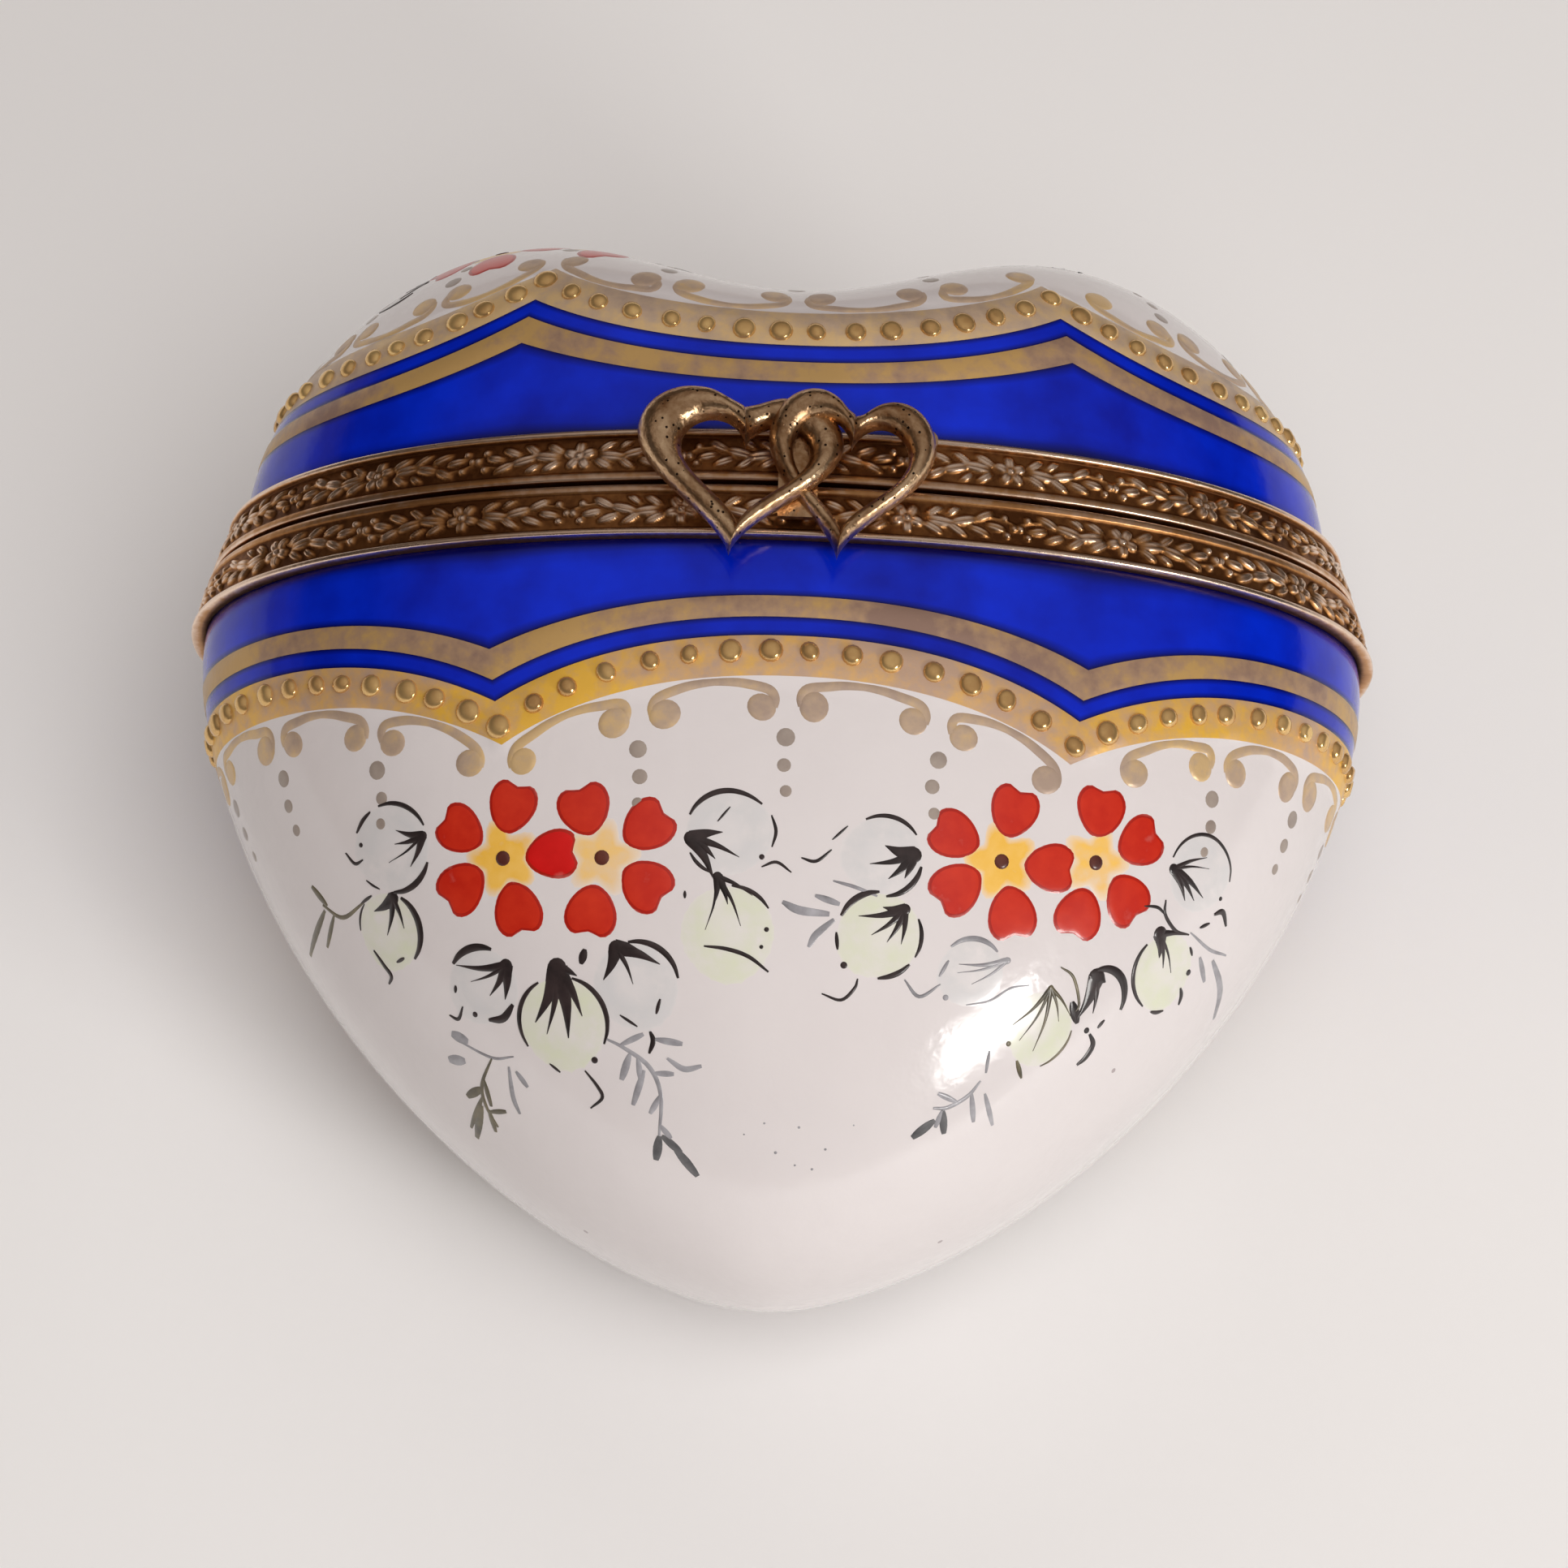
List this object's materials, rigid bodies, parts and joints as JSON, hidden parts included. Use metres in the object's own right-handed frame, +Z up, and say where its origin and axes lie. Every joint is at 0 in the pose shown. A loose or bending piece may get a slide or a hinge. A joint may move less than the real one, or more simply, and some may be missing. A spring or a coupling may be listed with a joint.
{
  "type": "hinged porcelain trinket box",
  "caption": "Heart-shaped porcelain trinket box lying on its back, with a metal-rimmed lid on a rear hinge and a clasp of linked hearts.",
  "frame": {"origin": "on the table under the middle of the box as it lies on its back", "axes": "+X across the heart to the right, +Y from the heart's point towards its lobes, +Z up out of its front face, which leans 14 degrees towards -Y"},
  "size_m": [0.0508, 0.045, 0.0335],
  "materials": {
    "porcelain": "gloss",
    "bezel_metal": "satin",
    "hinge_metal": "satin",
    "clasp_metal": "satin"
  },
  "bodies": {
    "base": {"base_shell": "porcelain", "base_bezel": "bezel_metal", "base_hinge_leaves": "hinge_metal", "hinge_pin": "hinge_metal", "catch_bead": "clasp_metal"},
    "lid": {"lid_shell": "porcelain", "lid_bezel": "bezel_metal", "lid_hinge_leaf": "hinge_metal", "left_clasp_heart": "clasp_metal", "right_clasp_heart": "clasp_metal", "clasp_posts": "clasp_metal", "clasp_tongue": "clasp_metal"}
  },
  "joints": [
    {"name": "lid_hinge", "type": "hinge", "parent": "base", "child": "lid", "pos_m": [0, 0.01157, 0.001], "axis": [-1, 0, 0], "range_deg": [0, 95]}
  ]
}
